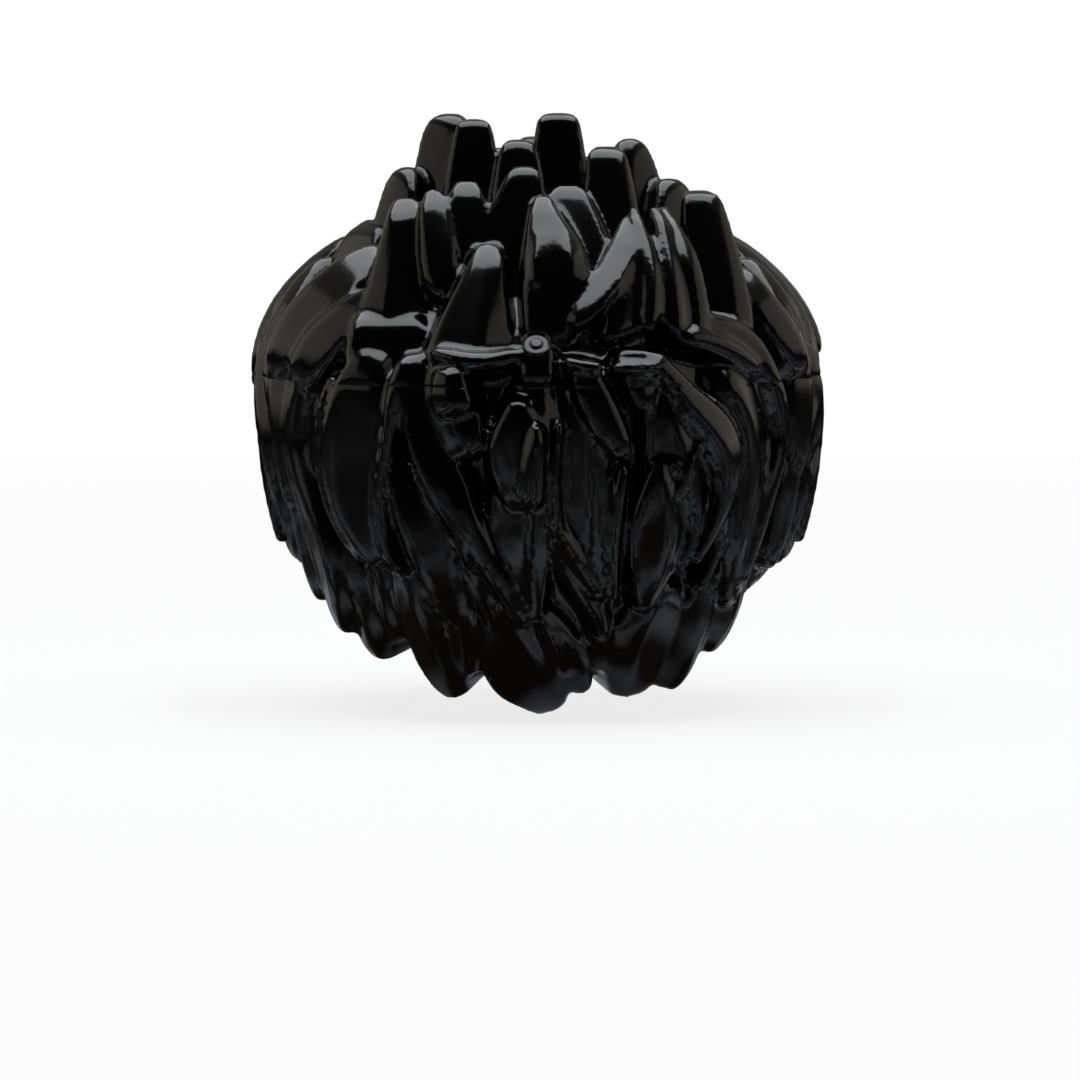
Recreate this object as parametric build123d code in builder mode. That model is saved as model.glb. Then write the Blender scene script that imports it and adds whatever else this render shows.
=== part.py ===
from build123d import *
from math import sqrt
import os

# A toy figure's hairpiece: a tousled head of hair, moulded in one glossy plastic and pressed on a stud.
# +Z is up, the back of the head faces -Y, and the lowest lock tip stands on Z = 0.

# Driving dimensions, in millimetres
hair_radius = 7.8        # widest part of the hair, without the locks' own lift
lower_height = 9.2       # from the lowest lock tip to the mould's parting plane
upper_height = 7.2       # from the parting plane to the highest spike
head_radius = 5.1        # the head that the hair is worn on
head_clearance = 0.05
stud_radius = 2.4        # the stud on top of the head, gripped by the socket
stud_height = 1.8
socket_clearance = 0.1   # over the end of the stud, not round it
seat_drop = 0.2          # the head's top lies this far under the parting plane
skirt_wall = 0.95
dome_radius = 6.7        # the solid crown under the spikes
dome_rise = 3.9
hem_back = 1.3           # lower edge of the skirt at the nape and over the face
hem_front = 6.9
flank_draft = 0.14       # how far a lock's flank leans out for each millimetre of depth
least_depth = 1.7        # how far a lock reaches inwards where no skirt is behind it

# The rows of locks below are drawn on a head of hair of this radius and these heights
drawn_radius = 7.8
drawn_lower = 9.2
drawn_upper = 7.2

cavity_radius = head_radius + head_clearance
seat_height = lower_height - seat_drop
skirt_radius = cavity_radius + skirt_wall
across = hair_radius / drawn_radius
lower_bulge = 13.2 * lower_height / drawn_lower
upper_bulge = 5.2 * upper_height / drawn_upper

os.makedirs("parts", exist_ok=True)
finished = []


def level(z):
    """Height in the part of a row's drawn z."""
    if z > drawn_lower:
        return lower_height + (z - drawn_lower) * upper_height / drawn_upper
    return z * lower_height / drawn_lower


def write(label, *pieces):
    """Write one node: a solid, or a group of separate solids."""
    node = pieces[0] if len(pieces) == 1 else Compound(children=list(pieces))
    node.label = label
    export_step(node, f"parts/{label}.step")


def clear(body):
    """Cut a lock back to the head's space and to the finished pieces that its box meets."""
    box = body.part.bounding_box()
    for piece in [head_space.part, *finished]:
        other = piece.bounding_box()
        apart = any(a > b for a, b in zip((*box.min, *other.min), (*other.max, *box.max)))
        if not apart:
            body.part = body.part - piece
    largest = body.part.solids().sort_by(SortBy.VOLUME)[-1]
    finished.append(largest)
    return largest


# ---------- Skirt: the wall round the head, open to the face ----------
with BuildPart() as skirt:
    with BuildSketch():
        Circle(skirt_radius)
        Circle(cavity_radius, mode=Mode.SUBTRACT)
    extrude(amount=seat_height)
    with BuildSketch(Plane.YZ):
        with BuildLine():
            Polyline(
                (-hair_radius, -1),
                (-hair_radius, level(hem_back)),
                (hair_radius, level(hem_front)),
                (hair_radius, -1),
                close=True,
            )
        make_face()
    extrude(amount=hair_radius, both=True, mode=Mode.SUBTRACT)

# ---------- Crown: the solid dome that the spikes grow from, with the socket for the stud ----------
with BuildPart() as crown:
    with BuildSketch(Plane.XZ):
        with BuildLine():
            top = (0, seat_height + dome_rise)
            rim = (dome_radius, seat_height)
            TangentArc(top, rim, tangent=(1, 0))
            Polyline(rim, (0, seat_height), top)
        make_face()
    revolve(axis=Axis.Z)
    with Locations((0, 0, seat_height)):
        Cylinder(
            stud_radius,
            stud_height + socket_clearance,
            align=(Align.CENTER, Align.CENTER, Align.MIN),
            mode=Mode.SUBTRACT,
        )

# The room for the head and its stud, which no lock may enter
with BuildPart() as head_space:
    Cylinder(cavity_radius, 2 * seat_height, align=(Align.CENTER, Align.CENTER, Align.CENTER))
    with Locations((0, 0, seat_height)):
        Cylinder(stud_radius, stud_height + socket_clearance, align=(Align.CENTER, Align.CENTER, Align.MIN))

finished += [skirt.part.solid(), crown.part.solid()]
write("skirt", finished[0])
write("crown", finished[1])


def on_hair(x, z, lift, turn):
    """Point and outward direction on the hair's rounded shape, seen from the back turned by an angle."""
    rise = level(z) - lower_height
    bulge = upper_bulge if rise > 0 else lower_bulge
    reach = hair_radius * sqrt(max(0.04, 1 - (rise / bulge) ** 2)) + lift
    aside = max(-0.98 * reach, min(0.98 * reach, x * across))
    back = -sqrt(reach**2 - aside**2)
    outward = Vector(aside, back, rise * (hair_radius / bulge) ** 2).normalized()
    return Vector(aside, back, level(z)).rotate(Axis.Z, turn), outward.rotate(Axis.Z, turn), -outward.Y


def strand(lift, rows, turn=0):
    """A lock that lies on the hair: rows of (x, z, seen width), from its root to its tip."""
    spots = [on_hair(x, z, lift, turn) for x, z, _ in rows]
    last = len(rows) - 1
    stations = []
    for i, (point, outward, facing) in enumerate(spots):
        along = (spots[min(i + 1, last)][0] - spots[max(i - 1, 0)][0]).normalized()
        stations.append((point, outward, along, rows[i][2] / max(0.4, facing)))
    # a narrower section beyond each end rounds it off
    for end, step, place in ((0, -0.28, 0), (-1, 0.28, last + 2)):
        point, outward, along, width = stations[end]
        beyond = point + along * step * width - outward * 0.12 * width
        stations.insert(place, (beyond, outward, along, 0.5 * width))
    with BuildPart() as lock:
        for point, outward, along, width in stations:
            facing = (outward - along * outward.dot(along)).normalized()
            depth = max(least_depth, sqrt(point.X**2 + point.Y**2) - cavity_radius + 0.15)
            half = width / 2
            foot = half + flank_draft * depth
            with BuildSketch(Plane(origin=point, x_dir=facing.cross(along), z_dir=along)):
                with BuildLine():
                    Polyline(
                        (-half, -0.16 * width),
                        (0, 0),
                        (half, -0.16 * width),
                        (foot, -depth),
                        (-foot, -depth),
                        close=True,
                    )
                make_face()
        loft(ruled=True)
    return clear(lock)


def spike(rows, facing=0, tilt=40):
    """A drafted spike: rows of (x, y, z, width, depth) of its outer face, from its foot to its blunt tip."""
    with BuildPart() as lock:
        for i, (x, y, z, width, depth) in enumerate(rows):
            lean = tilt if i == len(rows) - 1 else 0
            plane = Plane(origin=(x * across, y * across, level(z)))
            plane = plane.rotated((0, 0, facing)).rotated((lean, 0, 0))
            with BuildSketch(plane):
                with BuildLine():
                    half = width / 2
                    inner = 0.7 * half
                    Polyline((-half, 0), (half, 0), (inner, depth), (-inner, depth), close=True)
                make_face()
        loft(ruled=True)
    return clear(lock)


# ---------- Locks round the parting plane and down the back, outermost first ----------
write("gate_lock", strand(0.35, [(-0.1, 10.2, 0.8), (-0.08, 9.8, 0.85), (-0.05, 9.5, 0.9)]))
write("nape_curl", strand(0.45, [(-0.75, 8.2, 1.0), (-0.6, 7.3, 1.4), (-0.35, 6.2, 1.2)]))
write("left_stub", strand(0.4, [(-2.4, 9.5, 0.9), (-2.35, 8.8, 1.05)]))
write("right_hook", strand(
    0.4,
    [(3.7, 9.5, 0.7), (4.3, 8.5, 0.8), (5.1, 7.6, 0.8), (5.2, 6.5, 0.5), (4.8, 5.6, 0.4), (4.45, 4.9, 0.3)],
))
write("right_slant", strand(0.25, [(1.55, 9.5, 1.0), (1.95, 8.4, 1.0), (2.3, 7.6, 0.75)]))
write("left_crescent", strand(
    0.25,
    [(-4.75, 9.5, 1.1), (-5.1, 8.0, 1.5), (-5.1, 6.4, 1.1), (-4.75, 4.9, 0.5)],
))
write("left_ribbon", strand(
    0.2,
    [(-3.55, 9.5, 0.8), (-3.85, 8.0, 0.6), (-4.3, 6.6, 0.35), (-4.3, 5.3, 0.35), (-3.6, 4.2, 0.4), (-2.95, 3.2, 0.35)],
))
write("right_curl", strand(0.1, [(3.15, 6.6, 0.5), (3.25, 5.8, 1.0), (3.05, 4.7, 1.1), (2.7, 3.8, 0.8)]))
write("nape_slant", strand(
    0.05,
    [(-2.0, 6.4, 0.35), (-1.75, 5.1, 0.65), (-1.2, 3.9, 0.7), (-0.7, 3.0, 0.4)],
))
write("nape_panel", strand(
    -0.05,
    [(-0.2, 9.0, 1.5), (-0.25, 7.0, 1.6), (-0.45, 5.0, 1.8), (-0.3, 3.3, 1.1)],
))
write("left_leaf", strand(
    0,
    [(-3.9, 6.9, 0.3), (-3.5, 6.0, 1.1), (-3.0, 4.9, 1.4), (-2.6, 3.6, 0.9), (-2.25, 2.5, 0.6)],
))
write("right_lobe", strand(0.05, [(3.4, 8.4, 1.2), (3.9, 7.3, 1.4), (4.2, 6.0, 0.8), (4.2, 5.0, 0.4)]))
write("left_swell", strand(0, [(-2.65, 8.6, 1.3), (-2.1, 7.9, 1.6)]))
write("right_strip", strand(
    -0.05,
    [(2.25, 6.7, 0.45), (2.15, 5.4, 0.45), (1.95, 4.3, 0.4), (1.95, 3.5, 0.3)],
))
write("far_right_strip", strand(
    0.2,
    [(6.3, 9.6, 0.5), (6.8, 7.9, 0.45), (6.45, 6.2, 0.4), (6.0, 4.6, 0.4), (5.7, 3.7, 0.3)],
))
write("right_shoulder", strand(
    0,
    [(5.0, 9.5, 1.5), (5.7, 8.2, 1.0), (5.75, 7.0, 0.8), (5.4, 5.4, 1.0), (5.1, 4.1, 0.7)],
))
write("left_flank", strand(
    0.1,
    [(-0.3, 9.8, 1.4), (-0.2, 8.2, 1.8), (0, 6.6, 1.8), (0.1, 5.0, 1.6), (0.2, 3.7, 1.1)],
    -66,
))
write("right_flank", strand(
    0.1,
    [(0.2, 9.6, 1.4), (0.3, 8.0, 1.6), (0.2, 6.4, 1.5), (0.1, 4.8, 1.3), (-0.2, 3.5, 0.9)],
    68,
))
write("right_panel", strand(-0.15, [(1.1, 9.0, 1.4), (1.25, 7.2, 1.4), (1.3, 5.6, 1.4), (1.45, 4.2, 0.9)]))
write("left_panel", strand(-0.2, [(-2.7, 7.8, 1.8), (-2.5, 6.2, 1.2), (-2.2, 5.0, 0.5)]))
write("left_shoulder", strand(
    -0.15,
    [(-6.2, 9.2, 0.8), (-6.5, 7.6, 0.8), (-6.3, 6.3, 0.7), (-5.8, 5.3, 0.4)],
))

# ---------- The lowest row, whose tips make the hem ----------
write("right_sweep", strand(-0.1, [(0.55, 5.4, 0.6), (0.95, 4.3, 0.7), (1.35, 3.1, 0.6), (1.5, 2.4, 0.4)]))
write("left_hem_outer", strand(-0.15, [(-6.3, 5.8, 0.8), (-5.9, 4.2, 0.9), (-5.5, 2.8, 0.6)]))
write("left_hem_middle", strand(-0.3, [(-5.2, 4.6, 0.7), (-4.85, 3.2, 0.9), (-4.55, 2.0, 0.95)]))
write("left_hem_inner", strand(
    -0.3,
    [(-4.0, 4.0, 0.7), (-3.4, 2.8, 1.1), (-2.8, 1.6, 1.3), (-2.5, 0.9, 0.9)],
))
write("nape_hem", strand(-0.3, [(-0.9, 2.9, 1.5), (-0.4, 1.8, 1.8), (0.05, 0.85, 1.5), (0.15, 0.2, 0.9)]))
write("right_hem_inner", strand(
    -0.35,
    [(3.5, 3.3, 0.9), (3.0, 2.5, 1.6), (2.65, 1.5, 1.4), (2.65, 0.9, 1.0)],
))
write("right_hem_middle", strand(
    -0.3,
    [(4.5, 4.2, 0.7), (4.45, 3.0, 0.9), (4.1, 1.9, 1.0), (3.75, 1.1, 0.8)],
))
write("right_hem_outer", strand(-0.2, [(5.35, 3.8, 0.5), (5.15, 2.7, 0.5), (4.75, 1.8, 0.5)]))
write(
    "nape_hem_sides",
    strand(-0.4, [(-1.95, 3.4, 0.6), (-1.85, 2.3, 0.6), (-1.6, 1.4, 0.5)]),
    strand(-0.4, [(0.5, 3.0, 0.7), (0.95, 1.9, 0.8), (1.25, 0.9, 0.6)]),
)

# ---------- Locks above the parting plane that lie along the crown ----------
write(
    "right_fin",
    strand(0.5, [(2.2, 12.9, 0.8), (1.8, 12.2, 1.1), (1.2, 11.4, 0.9), (0.6, 10.7, 0.6)]),
    strand(0.2, [(2.75, 12.6, 0.7), (2.6, 11.6, 1.1), (2.2, 10.6, 0.8)]),
)
write(
    "right_ripples",
    strand(0.55, [(2.65, 13.4, 0.4), (3.05, 12.8, 0.4), (3.15, 11.8, 0.45), (3.05, 11.1, 0.45)]),
    strand(0.45, [(3.35, 13.5, 0.4), (3.5, 12.7, 0.4), (3.65, 11.8, 0.45), (3.75, 10.9, 0.7)]),
    strand(0.6, [(3.6, 13.4, 0.6), (3.95, 12.9, 0.75), (4.2, 12.2, 0.6), (4.3, 11.7, 0.25)]),
)
write("right_apron", strand(0.2, [(4.45, 12.4, 0.6), (4.5, 11.8, 0.8), (4.5, 11.2, 0.9)]))
write("left_sweep_high", strand(
    0.25,
    [(-4.9, 12.2, 0.5), (-5.8, 11.6, 0.7), (-6.7, 10.7, 0.8), (-7.2, 9.9, 0.6)],
))
write("left_sweep_low", strand(
    0.15,
    [(-4.8, 11.4, 0.4), (-5.4, 10.9, 0.6), (-6.1, 10.2, 0.8), (-6.4, 9.6, 0.7)],
))
write("right_sweep_high", strand(
    0.2,
    [(-0.3, 12.3, 0.9), (-0.3, 11.5, 1.1), (0.1, 10.7, 1.3), (0.5, 9.9, 1.2)],
    62,
))
write("right_bundle", strand(
    0.3,
    [(4.2, 10.45, 0.45), (5.0, 10.3, 0.45), (5.8, 9.9, 0.4), (6.2, 9.3, 0.3)],
))

# ---------- Spikes on the back, nearest the nape first ----------
write("nape_spike", spike(
    [(-1.75, -7.3, 9.2, 2.6, 3.6), (-1.6, -6.9, 10.6, 1.7, 2.6), (-1.4, -6.3, 12.6, 0.95, 0.85)],
))
write("left_ledge", spike([(-4.2, -6.4, 9.2, 2.8, 3.0), (-4.1, -6.0, 10.9, 2.1, 1.3)], tilt=35))
write("left_spike", spike(
    [(-4.0, -5.9, 9.2, 2.6, 3.2), (-3.75, -5.4, 11.7, 1.5, 2.2), (-3.65, -5.0, 13.7, 0.95, 0.85)],
    -10,
))
write("crown_leaf", spike(
    [(0.3, -7.0, 9.3, 2.3, 3.4), (0.35, -6.8, 11.5, 2.1, 3.0), (0.35, -6.2, 12.6, 1.8, 2.4), (0.15, -5.5, 13.8, 0.6, 0.8)],
))
write("tall_spike", spike(
    [(-0.9, -6.1, 10.0, 3.2, 3.5), (-0.75, -5.4, 12.8, 2.2, 2.4), (-0.45, -4.7, 14.9, 0.85, 0.6)],
))
write("bar_spike", spike(
    [(1.3, -6.2, 10.0, 3.0, 3.4), (1.1, -5.4, 12.6, 2.0, 2.2), (0.7, -4.6, 14.35, 1.1, 0.45)],
))
write("right_spike", spike(
    [(5.1, -5.2, 9.6, 1.9, 3.0), (4.85, -4.6, 12.0, 1.5, 2.2), (4.4, -3.9, 14.1, 0.95, 0.5)],
    15,
))
write(
    "left_leaves",
    spike([(-2.7, -5.3, 11.5, 1.1, 2.0), (-2.75, -4.7, 13.6, 0.8, 1.5), (-3.0, -4.3, 14.5, 0.35, 0.5)]),
    spike([(-1.9, -5.2, 12.0, 1.2, 2.0), (-2.0, -4.6, 13.7, 0.9, 1.5), (-2.3, -4.2, 14.6, 0.35, 0.5)]),
)
write("right_post", spike(
    [(2.0, -5.0, 10.6, 2.4, 3.0), (1.9, -4.2, 13.6, 1.3, 1.6), (1.85, -3.6, 15.35, 0.95, 0.5)],
    tilt=35,
))
write("left_lobe", spike(
    [(-6.0, -2.6, 9.2, 2.8, 3.4), (-5.6, -2.4, 11.6, 2.2, 2.4), (-4.9, -2.1, 13.2, 1.3, 0.7)],
    -50,
))

# ---------- Spikes on top and in front ----------
write(
    "top_spikes_left",
    spike([(-0.5, -4.6, 11.6, 2.2, 2.6), (-0.6, -3.3, 15.55, 0.95, 0.5)]),
    spike([(-1.9, -3.8, 11.6, 2.2, 2.6), (-1.85, -2.8, 15.95, 0.85, 0.5)]),
    spike([(-2.9, -2.6, 11.4, 2.2, 2.6), (-2.75, -1.6, 16.05, 0.9, 0.6)], -30),
    spike([(-4.3, -3.2, 10.6, 2.2, 2.6), (-3.9, -2.0, 14.7, 0.9, 0.6)], -40),
)
write(
    "top_spikes_right",
    spike([(0.7, -3.2, 11.6, 2.2, 2.6), (0.5, -2.0, 16.0, 1.0, 0.6)]),
    spike([(2.9, -2.6, 11.4, 2.2, 2.6), (2.65, -1.6, 15.3, 0.9, 0.6)], 25),
    spike([(4.2, -2.6, 10.8, 2.2, 2.6), (3.8, -1.8, 14.4, 0.95, 0.6)], 40),
)
write(
    "left_crown_spikes",
    spike([(-3.6, 1.2, 11.0, 2.4, 2.8), (-3.0, 0.9, 15.0, 0.9, 0.6)], -105),
    spike([(-5.7, 3.2, 9.2, 2.6, 3.2), (-4.6, 2.4, 13.0, 1.0, 0.7)], -120),
    spike([(-6.7, 0.4, 9.2, 2.6, 3.2), (-5.6, 0.3, 12.2, 1.1, 0.7)], -90),
)
write(
    "right_crown_spikes",
    spike([(3.6, 1.4, 11.0, 2.4, 2.8), (3.1, 1.1, 14.5, 0.9, 0.6)], 105),
    spike([(5.7, 3.2, 9.2, 2.6, 3.2), (4.6, 2.5, 13.2, 1.0, 0.7)], 120),
    spike([(6.6, 0.1, 9.2, 2.6, 3.2), (5.5, 0.1, 12.0, 1.1, 0.7)], 90),
)
write(
    "front_crown_spikes",
    spike([(-1.6, 3.4, 11.0, 2.4, 2.8), (-1.3, 2.2, 15.2, 0.9, 0.6)], -160),
    spike([(1.6, 3.4, 11.0, 2.4, 2.8), (1.3, 2.0, 15.3, 0.9, 0.6)], 160),
    spike([(0.0, 6.6, 9.2, 2.8, 3.4), (0.0, 5.2, 13.2, 1.0, 0.7)], 180),
    spike([(-3.2, 5.8, 9.2, 2.6, 3.2), (-2.6, 4.5, 13.5, 1.0, 0.7)], -152),
    spike([(3.2, 5.8, 9.2, 2.6, 3.2), (2.6, 4.5, 13.3, 1.0, 0.7)], 152),
)

# ---------- Sides and fringe: an upper row over a lower one ----------
side_rows = [(86, 5.9), (106, 5.4), (127, 5.8)]
under_rows = [(80, 4.6), (97, 4.5), (116, 4.9)]
for side, name in ((-1, "left"), (1, "right")):
    upper = [
        strand(0.15, [(0.2, 9.8, 1.6), (0, 8.4, 2.2), (-0.1, 7.1, 2.0), (0.1, tip + 0.4, 1.2)], side * turn)
        for turn, tip in side_rows
    ]
    write(f"{name}_side_locks", *upper)
    under = [
        strand(-0.25, [(0, 7.6, 2.0), (0.1, 6.2, 1.9), (-0.1, tip + 0.3, 1.1)], side * turn)
        for turn, tip in under_rows
    ]
    write(f"{name}_under_locks", *under)
fringe_rows = [(-149, 6.2), (-170, 6.7), (169, 6.5), (148, 6.1)]
write("fringe_locks", *[
    strand(0.3, [(0.3, 9.8, 1.8), (0.1, 8.6, 2.4), (-0.1, 7.6, 2.0), (-0.3, tip + 0.4, 1.1)], turn)
    for turn, tip in fringe_rows
])
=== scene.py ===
import math

import bmesh
import bpy
from mathutils import Matrix, Vector


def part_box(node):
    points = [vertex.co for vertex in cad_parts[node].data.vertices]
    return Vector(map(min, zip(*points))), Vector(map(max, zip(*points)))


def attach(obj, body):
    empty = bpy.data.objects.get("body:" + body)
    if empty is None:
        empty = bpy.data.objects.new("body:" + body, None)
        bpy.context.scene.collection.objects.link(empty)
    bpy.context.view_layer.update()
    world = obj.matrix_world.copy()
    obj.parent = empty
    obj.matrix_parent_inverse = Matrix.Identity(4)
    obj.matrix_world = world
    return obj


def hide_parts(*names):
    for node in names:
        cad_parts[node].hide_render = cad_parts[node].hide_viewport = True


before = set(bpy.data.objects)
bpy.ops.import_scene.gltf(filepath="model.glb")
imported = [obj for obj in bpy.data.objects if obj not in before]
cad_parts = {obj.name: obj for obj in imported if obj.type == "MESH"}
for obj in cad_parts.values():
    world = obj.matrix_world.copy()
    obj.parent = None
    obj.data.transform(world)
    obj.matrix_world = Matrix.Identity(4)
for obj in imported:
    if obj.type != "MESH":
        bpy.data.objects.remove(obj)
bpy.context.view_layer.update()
bpy.ops.object.select_all(action="DESELECT")


# ---------- Crown and skirt ----------
# The core of the moulding: a dome with the stud's socket, and the wall round the head.
# It is one glossy black ABS, injected in a polished steel mould, so it is almost a mirror:
# faint waviness from the mould, a slightly uneven gloss, and a few specks of dust.

class Finish:
    """A value in a material's nodes. Sums on it add Math nodes."""

    def __init__(self, tree, socket=None):
        self.tree = tree
        self.socket = socket

    def node(self, kind, settings=(), inputs=(), output=0):
        """Add a node: first its settings, then the values or links of its sockets."""
        node = self.tree.nodes.new(kind)
        for name, value in dict(settings).items():
            if name == "stops":
                for stop, (place, shade) in zip(node.color_ramp.elements, value):
                    stop.position = place
                    stop.color = (shade, shade, shade, 1)
            else:
                setattr(node, name, value)
        for name, value in dict(inputs).items():
            if isinstance(value, Finish):
                self.tree.links.new(value.socket, node.inputs[name])
            else:
                node.inputs[name].default_value = value
        return Finish(self.tree, node.outputs[output])

    def math(self, operation, first, second):
        return self.node("ShaderNodeMath", {"operation": operation}, {0: first, 1: second})

    def __add__(self, other):
        return self.math("ADD", self, other)

    def __radd__(self, other):
        return self.math("ADD", other, self)

    def __mul__(self, other):
        return self.math("MULTIPLY", self, other)

    def __rmul__(self, other):
        return self.math("MULTIPLY", other, self)


def hair_plastic(name, waviness):
    """Glossy black moulded plastic. Scales are in waves per metre; waviness is how strong they are."""
    material = bpy.data.materials.new(name)
    material.use_nodes = True
    tree = material.node_tree
    shader = tree.nodes["Principled BSDF"]
    place = Finish(tree).node("ShaderNodeTexCoord", output="Object")
    flow = place.node("ShaderNodeTexNoise", {}, {"Vector": place, "Scale": 420.0, "Detail": 2.0})
    haze = place.node("ShaderNodeTexNoise", {}, {"Vector": place, "Scale": 1500.0, "Detail": 4.0})
    grain = place.node("ShaderNodeTexNoise", {}, {"Vector": place, "Scale": 9000.0, "Detail": 2.0})
    specks = place.node("ShaderNodeTexVoronoi", {}, {"Vector": place, "Scale": 900.0})
    dust = specks.node("ShaderNodeValToRGB", {"stops": ((0.035, 1.0), (0.06, 0.0))}, {"Fac": specks})
    patch = haze.node("ShaderNodeValToRGB", {"stops": ((0.56, 0.0), (0.66, 1.0))}, {"Fac": haze})
    speck = dust * patch
    tone = place.node(
        "ShaderNodeMix",
        {"data_type": "RGBA"},
        {"Factor": haze, "A": (0.0002, 0.0002, 0.0003, 1), "B": (0.0007, 0.0007, 0.0009, 1)},
        output="Result",
    )
    tint = place.node(
        "ShaderNodeMix",
        {"data_type": "RGBA"},
        {"Factor": speck * 0.35, "A": tone, "B": (0.35, 0.33, 0.3, 1)},
        output="Result",
    )
    gloss = 0.09 + 0.06 * haze + 0.04 * flow + 0.25 * speck
    relief = flow.node(
        "ShaderNodeBump",
        {},
        {"Strength": waviness, "Distance": 0.00004, "Height": flow + 0.12 * grain + 0.2 * speck},
    )
    tree.links.new(tint.socket, shader.inputs["Base Color"])
    tree.links.new(gloss.socket, shader.inputs["Roughness"])
    tree.links.new(relief.socket, shader.inputs["Normal"])
    shader.inputs["IOR"].default_value = 1.53
    return material


inner_plastic = hair_plastic("hair_plastic_inside", 0.25)
outer_plastic = hair_plastic("hair_plastic_outside", 0.35)
for name in ("crown", "skirt"):
    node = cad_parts[name]
    node.data.materials.clear()
    node.data.materials.append(inner_plastic)


# ---------- Locks round the parting plane and down the back ----------
# Each lock is a tapering strand with steep flanks that lies on the rounded head of hair.
# The form is widest at the mould's parting plane, falls almost straight below it and domes above it.
# Places and widths are in millimetres, and a lock's width is what is seen from straight behind it.
MM = 0.001
SEAT_DROP = 0.2
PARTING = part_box("crown")[0].z / MM + SEAT_DROP
HAIR_RADIUS = 7.8
LOWER_BULGE = 13.2
UPPER_BULGE = 5.2
WALL_RADIUS = 5.5
POLE_SHARE = 0.04
OUTLINE_SHARE = 0.98
LEAST_FACING = 0.4
LEAST_DEPTH = 1.2
FLANK_SLOPE = 0.14
RIDGE_SINK = 0.06
TIP_SINK = 0.12
STRAND_CREASES = (0.8, 0.52, 0.42, 0.52, 0.8)
STRAND_END_CREASES = (0.5, 0.4)
lock_points = []
lock_faces = []
lock_creases = {}


def on_hair(x, z, lift, turn):
    """Point, outward direction and how squarely it faces a viewer behind it, on the rounded form."""
    rise = z - PARTING
    bulge = UPPER_BULGE if rise > 0 else LOWER_BULGE
    reach = HAIR_RADIUS * math.sqrt(max(POLE_SHARE, 1 - (rise / bulge) ** 2)) + lift
    aside = max(-OUTLINE_SHARE * reach, min(OUTLINE_SHARE * reach, x))
    back = -math.sqrt(reach**2 - aside**2)
    outward = Vector((aside, back, rise * (HAIR_RADIUS / bulge) ** 2)).normalized()
    spin = Matrix.Rotation(math.radians(turn), 3, "Z")
    return spin @ Vector((aside, back, z)), spin @ outward, -outward.y


def loft(rings, along, ends):
    """Add a closed lock through rings of points; creases for the edges along it and round its two ends."""
    count = len(rings[0])
    first = len(lock_points)
    total = count * len(rings)
    lock_points.extend(point * MM for ring in rings for point in ring)
    lock_faces.append([first + j for j in range(count)][::-1])
    lock_faces.append([first + total - count + j for j in range(count)])
    for i in range(len(rings) - 1):
        low = first + i * count
        for j in range(count):
            k = (j + 1) % count
            lock_faces.append([low + j, low + k, low + count + k, low + count + j])
            lock_creases[(low + j, low + count + j)] = along[j]
    for start, crease in ((first, ends[0]), (first + total - count, ends[1])):
        for j in range(count):
            k = (j + 1) % count
            lock_creases[tuple(sorted((start + j, start + k)))] = crease


def strand(lift, rows, turn=0, ridge=0.2, crest=0.0, edge=0.1, end=0.34, blunt=0.6, sink=0.4):
    """A lock that lies on the hair: rows of (x, z, seen width), from its root to its tip."""
    spots = [on_hair(x, z, lift, turn) for x, z, _ in rows]
    last = len(rows) - 1
    stations = []
    for i, (point, outward, facing) in enumerate(spots):
        along = (spots[min(i + 1, last)][0] - spots[max(i - 1, 0)][0]).normalized()
        stations.append((point, outward, along, rows[i][2] / max(LEAST_FACING, facing)))
    for index, step, place, sunk in ((0, -end, 0, sink), (-1, end, last + 2, TIP_SINK)):
        point, outward, along, width = stations[index]
        beyond = point + along * step * width - outward * sunk * width
        stations.insert(place, (beyond, outward, along, blunt * width))
    rings = []
    for point, outward, along, width in stations:
        up = (outward - along * outward.dot(along)).normalized()
        side = up.cross(along)
        depth = max(LEAST_DEPTH, math.hypot(point.x, point.y) - WALL_RADIUS)
        half = width / 2
        foot = half + FLANK_SLOPE * depth
        drop = edge * width
        rings.append([
            point - side * foot - up * depth,
            point - side * half - up * drop,
            point + side * crest * half + up * (ridge - RIDGE_SINK) * width,
            point + side * half - up * drop,
            point + side * foot - up * depth,
        ])
    loft(rings, STRAND_CREASES, STRAND_END_CREASES)


# the short lock that carries the gate, and the bright-ended locks beside it
strand(
    0.3,
    [(-0.08, 10.3, 0.9), (-0.08, 9.85, 0.9), (-0.07, 9.42, 0.9)],
    ridge=0.06, blunt=0.8, end=0.12, sink=0.1,
)
strand(
    0.45,
    [(-2.55, 9.65, 0.8), (-2.5, 9.1, 1.0), (-2.4, 8.6, 1.1)],
    ridge=0.1, end=0.12, blunt=0.8, sink=0.3,
)
strand(
    0.1,
    [(-2.65, 9.4, 1.1), (-2.55, 8.7, 1.4), (-2.3, 8.1, 1.5), (-2.0, 7.6, 1.0)],
    ridge=0.12, sink=0.1,
)
strand(
    0.3,
    [(1.2, 9.65, 0.7), (1.45, 9.0, 0.9), (1.85, 8.2, 0.9), (2.25, 7.5, 0.6)],
    ridge=0.04, edge=0.06, sink=0.4,
)
strand(0.15, [(2.75, 9.75, 1.1), (2.8, 9.3, 0.9), (2.85, 8.7, 0.5)], ridge=0.06, sink=0.4)

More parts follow.
